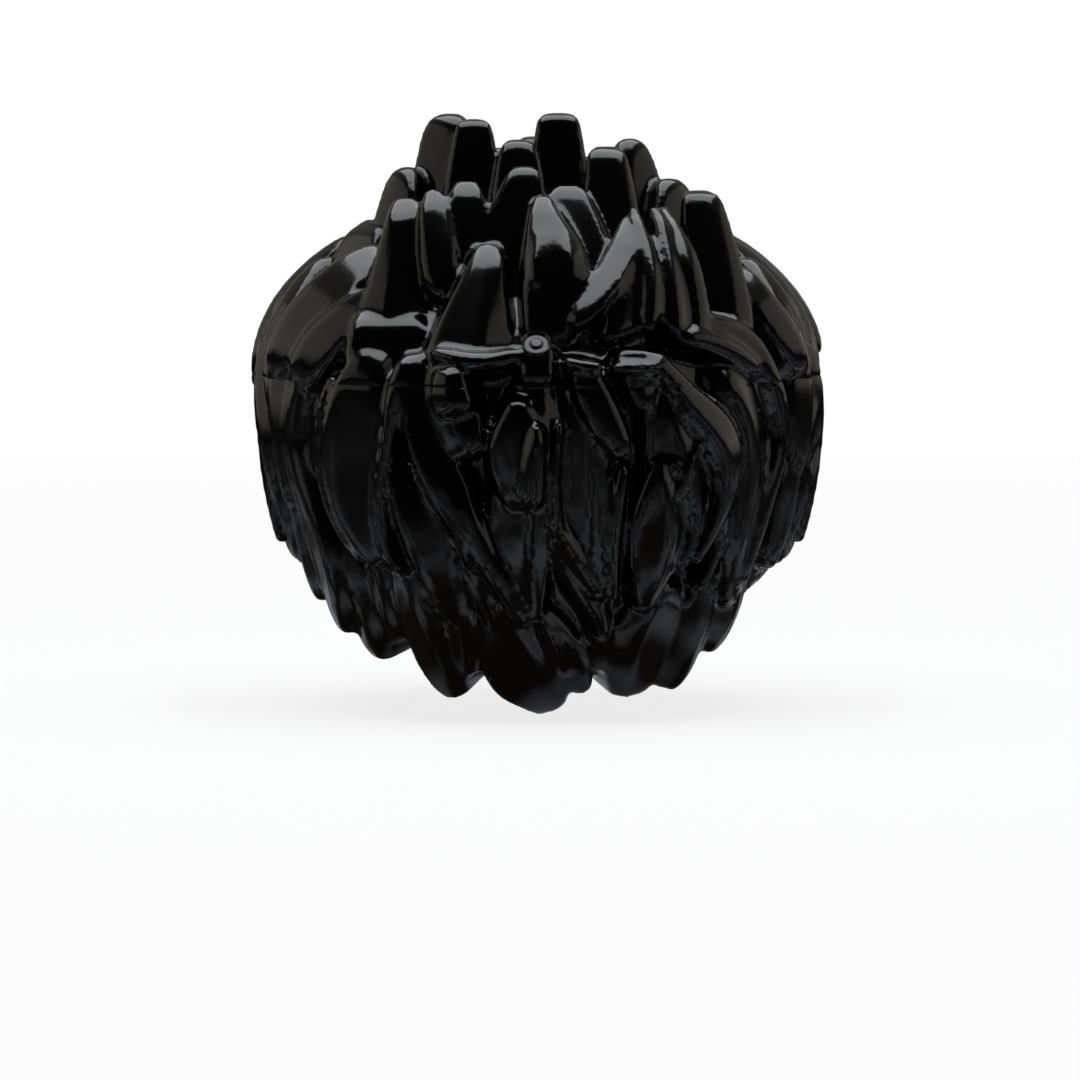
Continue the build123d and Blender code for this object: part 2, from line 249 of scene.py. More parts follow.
# level folds just over the parting plane, whose upper sides catch the light
strand(0.25, [(-2.9, 10.15, 0.35), (-2.2, 9.95, 0.5), (-1.4, 9.9, 0.5), (-0.7, 10.1, 0.4)], ridge=0.3)
strand(0.35, [(0.75, 9.95, 0.3), (1.1, 9.8, 0.34), (1.6, 9.78, 0.34)], ridge=0.35)
strand(0.32, [(2.05, 9.75, 0.3), (2.6, 9.74, 0.34), (3.25, 9.72, 0.3)], ridge=0.35)
strand(0.15, [(2.2, 10.1, 0.3), (2.8, 10.08, 0.32), (3.4, 9.98, 0.28)], ridge=0.35)

# the curl in the middle of the nape, with a tongue along it
strand(
    0.3,
    [(-0.62, 8.75, 0.6), (-0.65, 7.8, 1.6), (-0.6, 7.0, 1.6), (-0.42, 6.25, 1.25)],
    ridge=0.06, end=0.25, blunt=0.7, sink=0.4,
)
strand(
    0.48,
    [(-0.08, 8.15, 0.3), (-0.12, 7.5, 0.5), (-0.2, 6.8, 0.6), (-0.22, 6.15, 0.6)],
    ridge=0.16, end=0.3, sink=0.8,
)

# left of it
strand(
    0.1,
    [
        (-3.55, 9.9, 0.7), (-3.5, 9.2, 0.7), (-3.45, 8.3, 0.75), (-3.0, 7.2, 1.1),
        (-2.45, 6.2, 1.15), (-2.0, 5.3, 0.8), (-1.85, 4.4, 0.4),
    ],
    crest=-0.6, ridge=0.24,
)
strand(
    0.22,
    [
        (-3.7, 9.8, 0.55), (-4.0, 9.2, 0.42), (-4.1, 8.2, 0.32), (-4.3, 7.0, 0.28),
        (-4.42, 5.9, 0.28), (-4.3, 4.8, 0.3), (-3.9, 4.15, 0.25),
    ],
    ridge=0.3,
)
strand(
    0.25,
    [
        (-4.65, 9.95, 0.7), (-4.95, 9.3, 1.3), (-5.2, 8.2, 1.6), (-5.25, 7.0, 1.6),
        (-5.15, 5.9, 1.3), (-4.85, 5.0, 0.9), (-4.45, 4.3, 0.35),
    ],
    crest=-0.7, ridge=0.2,
)
strand(
    -0.32,
    [
        (-6.1, 8.8, 0.5), (-6.3, 7.4, 0.8), (-6.1, 6.0, 0.9), (-5.6, 4.6, 0.9), (-5.1, 3.4, 0.85),
        (-4.7, 2.3, 0.9), (-4.55, 1.85, 0.75),
    ],
    crest=0.3,
)
strand(
    0.0,
    [
        (-6.3, 10.4, 0.5), (-6.75, 9.2, 0.8), (-7.0, 8.0, 0.8), (-6.85, 6.8, 0.8),
        (-6.35, 5.4, 0.8), (-5.95, 4.3, 0.8), (-5.65, 3.1, 0.75), (-5.5, 2.5, 0.5),
    ],
    crest=0.5,
)
strand(
    0.0,
    [
        (-4.05, 7.3, 0.25), (-3.75, 6.5, 0.8), (-3.35, 5.6, 1.3), (-2.95, 4.6, 1.3),
        (-2.6, 3.6, 0.9), (-2.35, 2.8, 0.45),
    ],
    crest=-0.65, ridge=0.28,
)
strand(
    0.12,
    [(-2.05, 6.2, 0.3), (-1.8, 5.2, 0.5), (-1.3, 4.2, 0.6), (-0.8, 3.4, 0.55), (-0.4, 2.8, 0.35)],
    crest=-0.5, ridge=0.28,
)
strand(
    0.0,
    [
        (-0.2, 9.0, 1.5), (-0.35, 7.0, 1.7), (-0.6, 5.6, 1.9), (-0.5, 4.4, 1.5), (-0.3, 3.4, 0.9),
        (-0.2, 2.9, 0.5),
    ],
    crest=0.3, ridge=0.16,
)

# right of it
strand(
    0.35,
    [
        (3.2, 9.95, 0.45), (3.65, 9.45, 0.55), (4.2, 8.7, 0.75), (4.9, 8.0, 1.05),
        (5.25, 7.2, 0.95), (5.2, 6.4, 0.6), (4.95, 5.6, 0.42), (4.6, 4.9, 0.35), (4.3, 4.4, 0.25),
    ],
    crest=-0.3, ridge=0.16,
)
strand(
    0.05,
    [(3.3, 8.9, 0.9), (3.5, 8.0, 1.3), (3.8, 7.0, 1.5), (4.1, 6.0, 1.2), (4.3, 5.1, 0.6)],
    crest=0.3,
)
strand(
    0.16,
    [
        (3.3, 7.1, 0.35), (3.25, 6.3, 1.0), (3.3, 5.3, 1.55), (3.2, 4.4, 1.35), (2.95, 3.6, 0.8),
        (2.85, 3.2, 0.4),
    ],
    crest=0.3,
)
strand(
    0.0,
    [(2.3, 7.0, 0.3), (2.15, 6.0, 0.35), (2.0, 5.0, 0.4), (1.95, 4.1, 0.4), (2.0, 3.4, 0.3)],
    ridge=0.25,
)
strand(
    -0.12,
    [(1.1, 9.2, 1.4), (1.25, 7.4, 1.4), (1.25, 5.9, 1.4), (1.3, 4.6, 1.1), (1.6, 3.6, 0.6)],
    crest=0.2,
)
strand(
    0.05,
    [
        (5.3, 9.5, 1.2), (5.8, 8.4, 1.0), (6.0, 7.2, 0.9), (5.85, 6.0, 1.0), (5.6, 4.9, 1.0),
        (5.4, 4.0, 0.8), (5.25, 3.3, 0.5),
    ],
    crest=-0.4,
)
strand(
    0.24,
    [
        (5.9, 10.4, 0.4), (6.35, 9.5, 0.5), (6.65, 8.6, 0.45), (6.75, 7.6, 0.4), (6.45, 6.5, 0.4),
        (5.95, 4.9, 0.4), (5.6, 3.8, 0.3),
    ],
    ridge=0.25,
)

# thin ribs that run beside the broad locks
strand(
    0.2,
    [
        (-5.75, 9.3, 0.25), (-6.05, 8.3, 0.22), (-6.12, 7.2, 0.22), (-5.9, 6.0, 0.22),
        (-5.45, 5.0, 0.22), (-4.85, 4.35, 0.2),
    ],
    ridge=0.4,
)
strand(0.16, [(-2.9, 7.0, 0.2), (-2.45, 6.3, 0.22), (-2.1, 5.5, 0.22), (-1.95, 4.7, 0.2)], ridge=0.4)
strand(0.14, [(0.55, 8.2, 0.2), (0.42, 7.2, 0.22), (0.4, 6.2, 0.22), (0.55, 5.3, 0.2)], ridge=0.4)
strand(0.3, [(4.35, 7.6, 0.2), (4.0, 6.9, 0.2), (3.85, 6.3, 0.18)], ridge=0.4)
strand(
    0.2,
    [(3.6, 7.2, 0.2), (4.05, 6.5, 0.22), (4.3, 5.8, 0.22), (4.2, 5.0, 0.22), (3.8, 4.2, 0.2)],
    ridge=0.4,
)
strand(0.1, [(5.15, 6.0, 0.25), (5.0, 5.0, 0.25), (4.75, 4.3, 0.25), (4.5, 3.7, 0.2)], ridge=0.4)
strand(0.05, [(0.35, 5.6, 0.25), (0.75, 4.9, 0.45), (1.2, 4.2, 0.45), (1.6, 3.6, 0.25)], ridge=0.3)
strand(-0.08, [(0.05, 2.9, 0.25), (0.4, 2.1, 0.42), (0.7, 1.35, 0.3)], ridge=0.3)

# round the corners to the sides
strand(
    0.12,
    [
        (-0.3, 11.2, 0.8), (-0.35, 10.2, 1.2), (-0.3, 9.1, 1.5), (-0.1, 7.9, 1.5), (0, 6.8, 1.2),
        (0.1, 5.9, 0.7),
    ],
    -66,
)
strand(-0.12, [(0.1, 7.2, 1.2), (0.1, 5.6, 1.4), (0.1, 4.3, 1.2), (0.2, 3.3, 0.8)], -66)
strand(0.02, [(0.2, 10.4, 0.9), (0.2, 9.5, 1.3), (0.3, 8.6, 1.5), (0.3, 7.6, 1.4), (0.2, 6.8, 0.9)], 68)
strand(-0.12, [(0.2, 7.2, 1.2), (0.1, 6.1, 1.4), (0, 5.1, 1.2), (-0.3, 4.2, 0.8)], 68)
strand(
    -0.05,
    [(-0.4, 10.0, 0.4), (-0.2, 9.1, 0.9), (0, 8.1, 1.35), (0.1, 7.3, 1.1), (0.2, 6.5, 0.4)],
    84, end=0.2, ridge=0.26,
)


# ---------- The lowest row of locks ----------
# Their rounded tips make the hem at the nape. They are moulded in one with the locks over them,
# and lie a little deeper, so that each lock above them ends in a step.
strand(
    -0.1,
    [(0.3, 5.2, 0.5), (0.7, 4.4, 0.7), (1.2, 3.6, 0.7), (1.65, 2.9, 0.5), (1.75, 2.4, 0.3)],
    crest=-0.4,
)
strand(
    -0.25,
    [(-3.9, 4.6, 0.6), (-3.65, 3.6, 1.0), (-3.25, 2.6, 1.2), (-2.85, 1.6, 1.3), (-2.5, 0.85, 0.9)],
    crest=0.3,
)
strand(-0.18, [(-2.25, 4.3, 0.6), (-2.2, 3.2, 0.7), (-2.1, 2.2, 0.7), (-2.0, 1.4, 0.5)])
strand(-0.15, [(-1.95, 4.7, 0.3), (-1.75, 4.0, 0.5), (-1.5, 3.3, 0.5), (-1.3, 2.7, 0.3)])
strand(-0.42, [(-4.6, 4.6, 0.3), (-4.4, 3.7, 0.5), (-4.2, 2.9, 0.55), (-4.0, 2.3, 0.5)])
strand(
    -0.25,
    [(-1.3, 3.2, 1.4), (-1.0, 2.4, 1.8), (-0.55, 1.6, 2.2), (-0.1, 0.95, 2.1), (0.15, 0.5, 1.2)],
    ridge=0.13,
    crest=0.3,
)
strand(-0.28, [(0.15, 3.0, 0.5), (0.6, 2.2, 0.9), (0.95, 1.4, 0.9), (1.15, 0.9, 0.6)], crest=0.3)
strand(-0.4, [(1.5, 3.4, 0.6), (1.6, 2.4, 0.8), (1.7, 1.5, 0.5)])
strand(
    -0.28,
    [(3.6, 3.6, 0.9), (3.15, 2.8, 1.6), (2.75, 1.9, 1.7), (2.6, 1.0, 1.3)],
    crest=-0.3, ridge=0.16,
)
strand(-0.25, [(4.7, 3.9, 0.5), (4.45, 3.0, 0.9), (4.05, 2.0, 1.0), (3.7, 1.05, 0.8)], crest=0.3)
strand(-0.2, [(5.6, 4.4, 0.6), (5.4, 3.4, 0.7), (5.1, 2.6, 0.8), (4.8, 2.0, 0.6)])


# ---------- Locks that lie along the crown ----------
# Above the parting plane, low strands sweep between the spikes and down to the plane.
# They are the same tapering strands, and fill the corners between the spikes' feet.
strand(
    0.3,
    [(-4.5, 12.9, 0.4), (-5.3, 12.3, 0.8), (-6.2, 11.5, 1.0), (-6.9, 10.6, 0.9), (-7.35, 9.8, 0.5)],
    crest=-0.3,
)
strand(0.2, [(-4.7, 11.7, 0.4), (-5.4, 11.1, 0.7), (-6.1, 10.4, 0.9), (-6.6, 9.6, 0.8)], crest=-0.4)
strand(0.2, [(-0.3, 12.3, 0.9), (-0.3, 11.5, 1.1), (0.1, 10.7, 1.3), (0.5, 9.9, 1.2)], 62)
strand(0.3, [(4.0, 10.6, 0.4), (4.6, 10.5, 0.45), (5.3, 10.2, 0.45), (5.9, 9.7, 0.35)], ridge=0.2)
strand(0.25, [(4.6, 11.0, 0.4), (5.3, 10.8, 0.45), (6.0, 10.3, 0.4), (6.3, 9.7, 0.3)], ridge=0.2)


# ---------- Spikes on the back ----------
# Drafted posts with steep flat faces and small blunt tips that slope back, nearest the nape first.
# Each is cut as a tapering pocket in the upper half of the mould, and narrows so that it can be drawn out.
BACK_SHARE = 0.7


def spike(rows, facing=0, tilt=40, bow=0.06, crest=0.0, soft=0.3, blunt=0.42):
    """A spike: rows of (x, y, z, width, depth) of its outer face, from its foot to its blunt tip."""
    rings = []
    for i, (x, y, z, width, depth) in enumerate(rows):
        spin = Matrix.Rotation(math.radians(facing), 3, "Z")
        if i == len(rows) - 1:
            spin = spin @ Matrix.Rotation(math.radians(tilt), 3, "X")
        half = width / 2
        outline = (
            (-half, 0), (crest * half, -bow * width), (half, 0),
            (BACK_SHARE * half, depth), (-BACK_SHARE * half, depth),
        )
        rings.append([Vector((x, y, z)) + spin @ Vector((u, v, 0)) for u, v in outline])
    loft(rings, (0.46, soft, 0.46, 0.4, 0.4), (0.2, blunt))


spike(
    [(-2.0, -7.1, 9.2, 3.1, 3.6), (-1.85, -6.75, 10.6, 2.4, 2.6), (-1.4, -6.2, 12.6, 0.95, 0.85)],
    bow=0.2, crest=0.15, soft=0.6,
)
spike([(-4.2, -6.4, 9.2, 2.8, 3.0), (-4.1, -6.0, 10.9, 2.1, 1.3)], tilt=35)
spike(
    [(-4.1, -5.9, 9.2, 2.8, 3.2), (-3.85, -5.4, 11.7, 1.8, 2.2), (-3.65, -4.9, 13.8, 1.05, 0.85)],
    bow=0.2, crest=-0.2, soft=0.6,
)
spike(
    [
        (0.1, -7.1, 9.9, 1.0, 3.2), (0.3, -6.95, 11.0, 1.7, 3.0), (0.42, -6.75, 12.1, 2.0, 3.0),
        (0.38, -6.45, 13.0, 1.7, 2.4), (0.05, -5.95, 13.9, 0.7, 0.8),
    ],
    bow=0.12, soft=0.7,
)
spike(
    [(-0.9, -6.1, 10.0, 3.2, 3.5), (-0.75, -5.4, 12.8, 2.5, 2.4), (-0.42, -4.75, 14.95, 1.0, 0.4)],
    tilt=30,
)
spike([(1.3, -6.2, 10.0, 3.2, 3.4), (1.1, -5.4, 12.6, 2.2, 2.2), (0.75, -4.6, 14.35, 1.2, 0.45)])
spike(
    [(5.1, -5.4, 9.6, 2.2, 3.0), (4.85, -4.7, 12.0, 1.8, 2.2), (4.4, -3.95, 14.3, 1.2, 0.6)],
    15, crest=0.4, bow=0.12, tilt=15,
)
spike(
    [(-2.6, -6.0, 11.3, 1.1, 2.2), (-2.75, -5.6, 12.8, 1.15, 2.0), (-2.9, -5.1, 14.05, 0.75, 0.8)],
    bow=0.15, soft=0.6,
)
spike(
    [(-1.9, -5.5, 12.0, 1.4, 2.2), (-1.95, -5.15, 13.4, 1.3, 1.8), (-2.0, -4.85, 14.4, 0.95, 0.6)],
    bow=0.15, soft=0.5,
)
spike(
    [(2.0, -5.0, 10.6, 2.6, 3.0), (1.95, -4.2, 13.6, 1.7, 1.6), (1.8, -3.6, 15.45, 1.2, 0.5)],
    tilt=25, crest=0.5, bow=0.15,
)
spike(
    [(-6.0, -2.6, 9.2, 2.8, 3.4), (-5.6, -2.4, 11.6, 2.4, 2.4), (-4.9, -2.1, 13.2, 1.5, 0.7)],
    -50, soft=0.1,
)

# two ribs on the leaf's upper half
spike(
    [(-0.1, -7.0, 11.8, 0.55, 0.8), (-0.02, -6.82, 12.6, 0.6, 0.8), (0.1, -6.4, 13.35, 0.45, 0.5)],
    bow=0.24, soft=0.2,
)
spike(
    [(0.85, -6.9, 12.0, 0.5, 0.8), (0.75, -6.72, 12.8, 0.55, 0.8), (0.45, -6.3, 13.4, 0.4, 0.5)],
    bow=0.24, soft=0.2,
)

# the fin to the right of the leaf, and the steep ripples beside it
spike(
    [
        (0.85, -7.35, 10.7, 0.5, 1.5), (1.35, -7.15, 11.4, 1.0, 2.0), (1.95, -6.6, 12.3, 1.05, 2.0),
        (2.3, -5.9, 13.2, 0.6, 1.0),
    ],
    facing=-8, bow=0.06, crest=0.4, soft=0.5,
)
spike(
    [(2.1, -7.1, 10.2, 1.3, 2.5), (2.45, -6.75, 11.4, 1.3, 2.4), (2.6, -6.1, 13.0, 0.6, 1.0)],
    facing=14, crest=-0.5, bow=0.12,
)
spike(
    [
        (2.95, -7.0, 10.5, 0.7, 2.2), (3.1, -6.7, 11.6, 0.55, 2.0), (3.0, -6.2, 12.7, 0.5, 1.8),
        (2.7, -5.6, 13.6, 0.35, 0.8),
    ],
    20, bow=0.3,
)
spike(
    [
        (3.75, -6.7, 10.4, 0.9, 2.2), (3.65, -6.4, 11.7, 0.6, 2.0), (3.5, -6.0, 12.7, 0.5, 1.8),
        (3.3, -5.5, 13.6, 0.35, 0.8),
    ],
    24, bow=0.3,
)
spike(
    [
        (4.4, -6.35, 10.1, 1.0, 2.0), (4.25, -6.0, 12.0, 0.7, 2.0), (3.95, -5.7, 12.9, 0.75, 1.8),
        (3.6, -5.2, 13.6, 0.4, 0.8),
    ],
    28, bow=0.2,
)


# ---------- Spikes on top and in front ----------
# The same drafted posts, turned outwards all round the crown. The tallest stand in the middle,
# and those in front are a little uneven from left to right, as cut hair is.
spike([(-0.5, -4.6, 11.6, 2.6, 2.6), (-0.6, -3.4, 15.7, 1.1, 0.6)], tilt=12)
spike(
    [(-1.8, -3.8, 11.6, 2.6, 2.6), (-1.82, -3.2, 14.5, 1.7, 1.6), (-1.82, -2.8, 16.25, 1.05, 0.6)],
    tilt=10,
)
spike(
    [(-2.9, -2.6, 11.4, 3.0, 2.8), (-2.75, -2.0, 14.4, 2.0, 1.8), (-2.65, -1.7, 16.4, 1.3, 0.8)],
    -25, tilt=8, soft=0.1, blunt=0.3,
)
spike([(-4.3, -3.2, 10.6, 2.6, 2.6), (-3.9, -2.2, 14.95, 1.2, 0.8)], -40, tilt=12, soft=0.1, blunt=0.3)
spike([(0.6, -3.2, 11.6, 2.8, 2.6), (0.52, -2.4, 14.5, 1.8, 1.6), (0.5, -2.1, 16.4, 1.25, 0.7)], tilt=8)
spike([(2.9, -2.6, 11.4, 2.8, 2.6), (2.6, -1.7, 15.75, 1.25, 0.7)], 25, tilt=8, blunt=0.3)
spike([(4.2, -2.8, 10.8, 2.8, 2.6), (3.75, -2.1, 14.65, 1.35, 0.7)], 40, tilt=10, blunt=0.3)
for side, rise in ((-1, 0.15), (1, -0.1)):
    spike(
        [(1.5 * side, 1.4, 12.2, 3.0, 2.6), (1.25 * side, 0.7, 15.2 + rise, 1.15, 0.7)],
        (168 + 20 * rise) * side, tilt=15,
    )
    spike(
        [(3.6 * side, 0.5, 11.4, 3.2, 3.0), (2.95 * side, 0.3, 14.6 + rise, 1.2, 0.7)],
        98 * side, tilt=15,
    )
    spike(
        [(3.2 * side, 3.4, 11.2, 3.2, 3.0), (2.5 * side, 2.5, 14.2 + rise, 1.2, 0.7)],
        (140 - 30 * rise) * side,
    )
    spike([(5.7 * side, -0.8, 10.0, 3.2, 3.2), (4.7 * side, -0.8, 13.0 + rise, 1.3, 0.8)], 80 * side)
    spike([(5.5 * side, 2.2, 10.0, 3.2, 3.2), (4.5 * side, 1.7, 13.1 - rise, 1.3, 0.8)], 112 * side)
    spike(
        [(4.2 * side, 4.7, 10.0, 3.2, 3.2), (3.4 * side, 3.7, 13.0 + rise, 1.3, 0.8)],
        (140 + 30 * rise) * side,
    )
    spike([(1.7 * side, 6.1, 10.0, 3.2, 3.2), (1.4 * side, 4.9, 13.3 - rise, 1.25, 0.8)], 166 * side)
spike([(0.2, 4.0, 11.6, 3.2, 3.0), (0.1, 3.0, 14.6, 1.2, 0.7)], 180)
spike([(0.0, -0.6, 12.4, 3.0, 2.6), (-0.1, -0.8, 15.7, 1.1, 0.8)], 10, tilt=10)


# ---------- Sides and fringe ----------
# Rows of flowing locks over each other, all round from ear to ear over the face, then narrow ones.
# The hem rises from the nape to the brow, and the locks' tips hang a little below it.
LOCK_SHAPE = ((0, 0.4), (0.2, 0.8), (0.45, 1.0), (0.7, 0.85), (0.88, 0.55), (1, 0.3))
NAPE_HEM = 1.3
BROW_RISE = 5.6
LONG_LOCK_TOP = 11.0
SHORT_LOCK = 3.6


def flowing(turn, top, tip, width, sway, lift, crest):
    """A lock on the side: it swings across by its sway as it falls from its top to its tip."""
    rows = [(sway * math.cos(math.pi * t), top + (tip - top) * t, width * wide) for t, wide in LOCK_SHAPE]
    strand(lift, rows, turn, crest=crest, ridge=0.24)


def hem(turn):
    """Height of the hem at an angle round the head, from the nape at 0 to the brow at 180."""
    return NAPE_HEM + BROW_RISE * math.sin(math.radians(turn / 2)) ** 1.5


def snug(side, turn, amount):
    """How much closer to the head the locks lie behind the right ear."""
    return amount if side > 0 and turn < 100 else 0


for side in (-1, 1):
    # the ends that hang at the hem
    for turn, drop, width, sway in (
        (77, 0.1, 1.7, 0.3), (91, -0.5, 2.2, -0.3), (106, -0.5, 2.0, 0.4), (121, -0.4, 2.2, -0.3),
        (137, -0.45, 2.1, 0.3), (153, -0.3, 2.2, -0.35), (169, -0.3, 2.0, 0.3),
    ):
        tip = hem(turn) + drop
        flowing(side * turn, hem(turn) + SHORT_LOCK, tip, width, side * sway, -0.3, 0.3 * side)
    # the long locks over them
    for turn, drop, width, sway in (
        (84, 1.6, 2.1, 0.5), (99, 1.2, 2.4, 0.35), (114, 1.5, 2.2, 0.55), (130, 0.9, 2.4, 0.4),
        (146, 1.1, 2.3, 0.6), (162, 0.5, 2.4, 0.35),
    ):
        lift = -0.08 - snug(side, turn, 0.2)
        flowing(side * turn, LONG_LOCK_TOP, hem(turn) + drop, width, side * sway, lift, -0.35 * side)
    # the locks that come down from the crown
    for turn, top, tip, width, sway in (
        (79, 12.7, 8.2, 1.3, 0.6), (93, 12.9, 7.6, 1.5, 0.7), (108, 12.8, 8.4, 1.6, 0.6),
        (123, 12.8, 8.0, 2.0, 0.8), (139, 12.5, 8.7, 1.8, 0.6), (155, 12.8, 8.2, 2.0, 0.8),
    ):
        lift = (0.08 if turn > 100 else -0.05) - snug(side, turn, 0.25)
        flowing(side * turn, top, tip, width, side * sway, lift, 0.3 * side)
    # narrow locks over the valleys, above and below the parting plane
    for turn, top, tip, sway in (
        (72, 12.5, 9.6, 0.35), (86, 13.1, 8.9, -0.4), (101, 13.1, 9.8, 0.5), (116, 12.8, 9.0, -0.4),
        (131, 12.7, 9.9, 0.5), (147, 12.8, 9.2, -0.5), (163, 12.8, 9.7, 0.4),
    ):
        flowing(side * turn, top, tip, 0.75, side * sway, 0.2 - snug(side, turn, 0.25), 0.4 * side)
    for turn, top, tip, sway in (
        (84, 8.4, 4.6, 0.3), (97, 8.8, 4.8, -0.3), (113, 8.6, 5.6, 0.35), (128, 8.9, 6.0, -0.3),
        (144, 8.8, 6.5, 0.3), (160, 8.9, 6.8, -0.35),
    ):
        flowing(side * turn, top, tip, 0.8, side * sway, 0.05, -0.4 * side)
# the lock in the middle of the fringe, and the one that falls over it from the crown
flowing(180, LONG_LOCK_TOP, hem(180) + 0.1, 2.4, 0.4, 0.0, 0.3)
flowing(172, 12.7, 8.3, 1.9, -0.7, 0.15, -0.3)


# ---------- The moulded skin ----------
# In the mould the locks are cut into one cavity, so the plastic runs from lock to lock without a gap,
# with a small fillet in every valley and on every edge. The lofted locks are fused and softened here.
mesh = bpy.data.meshes.new("hair_skin")
mesh.from_pydata(lock_points, [], lock_faces)
skin = bpy.data.objects.new("hair_skin", mesh)
bpy.context.collection.objects.link(skin)
work = bmesh.new()
work.from_mesh(mesh)
crease_layer = work.edges.layers.float.new("crease_edge")
for edge in work.edges:
    edge[crease_layer] = lock_creases.get(tuple(sorted(vertex.index for vertex in edge.verts)), 0)
bmesh.ops.recalc_face_normals(work, faces=work.faces)
work.to_mesh(mesh)
work.free()

bpy.ops.object.select_all(action="DESELECT")
skin.select_set(True)
bpy.context.view_layer.objects.active = skin
ROUNDING_STEPS = 3
rounding = skin.modifiers.new("rounding", "SUBSURF")
rounding.levels = ROUNDING_STEPS
rounding.render_levels = ROUNDING_STEPS
bpy.ops.object.modifier_apply(modifier=rounding.name)

# the plastic under the locks, which closes every valley: a shell cut off along the hem,
# with room inside for the core's wall, roof and socket
BED_LIFT = -0.62
DOME_RISE = 4.0
BED_RADIUS = HAIR_RADIUS + BED_LIFT
BED_FOOT = 1.2
BED_STEPS = 16
BED_SIDES = 120
WALL_ROOM = 5.45
ROOF_HEIGHT = 9.4
SOCKET_ROOM = 2.8
SOCKET_ROOF = 11.4
BED_HEM = 1.6
BED_HEM_RISE = 5.4
profile = []
for step in range(BED_STEPS):
    height = BED_FOOT + step * (PARTING - BED_FOOT) / (BED_STEPS - 1)
    point, _, _ = on_hair(0, height, BED_LIFT, 0)
    profile.append(Vector((-point.y, 0, height)))
for step in range(1, BED_STEPS):
    angle = math.radians(90) * step / BED_STEPS
    profile.append(Vector((BED_RADIUS * math.cos(angle), 0, PARTING + DOME_RISE * math.sin(angle))))
profile.append(Vector((0, 0, PARTING + DOME_RISE)))
for room, height in (
    (0, SOCKET_ROOF), (SOCKET_ROOM, SOCKET_ROOF), (SOCKET_ROOM, ROOF_HEIGHT), (WALL_ROOM, ROOF_HEIGHT),
    (WALL_ROOM, BED_FOOT),
):
    profile.append(Vector((room, 0, height)))
work = bmesh.new()
ring = [work.verts.new(point * MM) for point in profile]
outline = [
    work.edges.new((ring[i - 1], ring[i]))
    for i in range(len(ring))
    if ring[i].co.x + ring[i - 1].co.x > 0
]
bmesh.ops.spin(
    work,
    geom=ring + outline,
    cent=(0, 0, 0),
    axis=(0, 0, 1),
    angle=2 * math.pi,
    steps=BED_SIDES,
    use_merge=True,
)
MERGE_DISTANCE = 0.001 * MM
bmesh.ops.remove_doubles(work, verts=work.verts[:], dist=MERGE_DISTANCE)
cut = bmesh.ops.bisect_plane(
    work,
    geom=work.verts[:] + work.edges[:] + work.faces[:],
    plane_co=(0, -HAIR_RADIUS * MM, BED_HEM * MM),
    plane_no=(0, -BED_HEM_RISE, 2 * HAIR_RADIUS),
    clear_inner=True,
)
rim = [item for item in cut["geom_cut"] if isinstance(item, bmesh.types.BMEdge)]
bmesh.ops.bridge_loops(work, edges=rim)
bmesh.ops.recalc_face_normals(work, faces=work.faces)
bed_mesh = bpy.data.meshes.new("bed")
work.to_mesh(bed_mesh)
work.free()
bed = bpy.data.objects.new("bed", bed_mesh)
bpy.context.collection.objects.link(bed)
bpy.ops.object.select_all(action="DESELECT")
skin.select_set(True)
bed.select_set(True)
bpy.context.view_layer.objects.active = skin
bpy.ops.object.join()
FUSE_SIZE = 0.085 * MM
SOFTEN_STEPS = 12
fuse = skin.modifiers.new("fuse", "REMESH")
fuse.mode = "VOXEL"
fuse.voxel_size = FUSE_SIZE
fuse.use_smooth_shade = True
bpy.ops.object.modifier_apply(modifier=fuse.name)
soften = skin.modifiers.new("soften", "SMOOTH")
soften.factor = 0.5
soften.iterations = SOFTEN_STEPS
bpy.ops.object.modifier_apply(modifier=soften.name)


# ---------- Halves of the mould ----------
# The two halves of the mould met at the parting plane, which leaves a hairline all round the skin.
# The skin is divided there, and both edges are drawn in a little to make the hairline.
MOST_TRIANGLES = 185000
SEAM_REACH = 0.1 * MM
SEAM_DEPTH = 0.016 * MM
OUTSIDE_FROM = 6 * MM
SHARP_FROM = math.radians(60)
for name, upper in (("hair_above_parting", True), ("hair_below_parting", False)):
    half = skin.copy()
    half.data = skin.data.copy()
    half.name = name
    bpy.context.collection.objects.link(half)
    bpy.ops.object.select_all(action="DESELECT")
    half.select_set(True)
    bpy.context.view_layer.objects.active = half
    work = bmesh.new()
    work.from_mesh(half.data)
    cut = bmesh.ops.bisect_plane(
        work,
        geom=work.verts[:] + work.edges[:] + work.faces[:],
        dist=MERGE_DISTANCE,
        plane_co=(0, 0, PARTING * MM),
        plane_no=(0, 0, 1),
        clear_inner=upper,
        clear_outer=not upper,
    )
    rim = [item for item in cut["geom_cut"] if isinstance(item, bmesh.types.BMEdge)]
    bmesh.ops.holes_fill(work, edges=rim, sides=0)
    for vertex in work.verts:
        near = 1 - abs(vertex.co.z - PARTING * MM) / SEAM_REACH
        if near > 0:
            flat = Vector((vertex.co.x, vertex.co.y, 0))
            if flat.length > OUTSIDE_FROM:
                vertex.co -= flat.normalized() * SEAM_DEPTH * near
    bmesh.ops.triangulate(work, faces=work.faces[:])
    work.to_mesh(half.data)
    work.free()
    thin = half.modifiers.new("thin", "DECIMATE")
    thin.ratio = min(1.0, MOST_TRIANGLES / len(half.data.polygons))
    bpy.ops.object.modifier_apply(modifier=thin.name)
    half.data.materials.clear()
    half.data.materials.append(outer_plastic)
    bpy.ops.object.shade_smooth_by_angle(angle=SHARP_FROM)
    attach(half, "root")
bpy.data.objects.remove(skin)

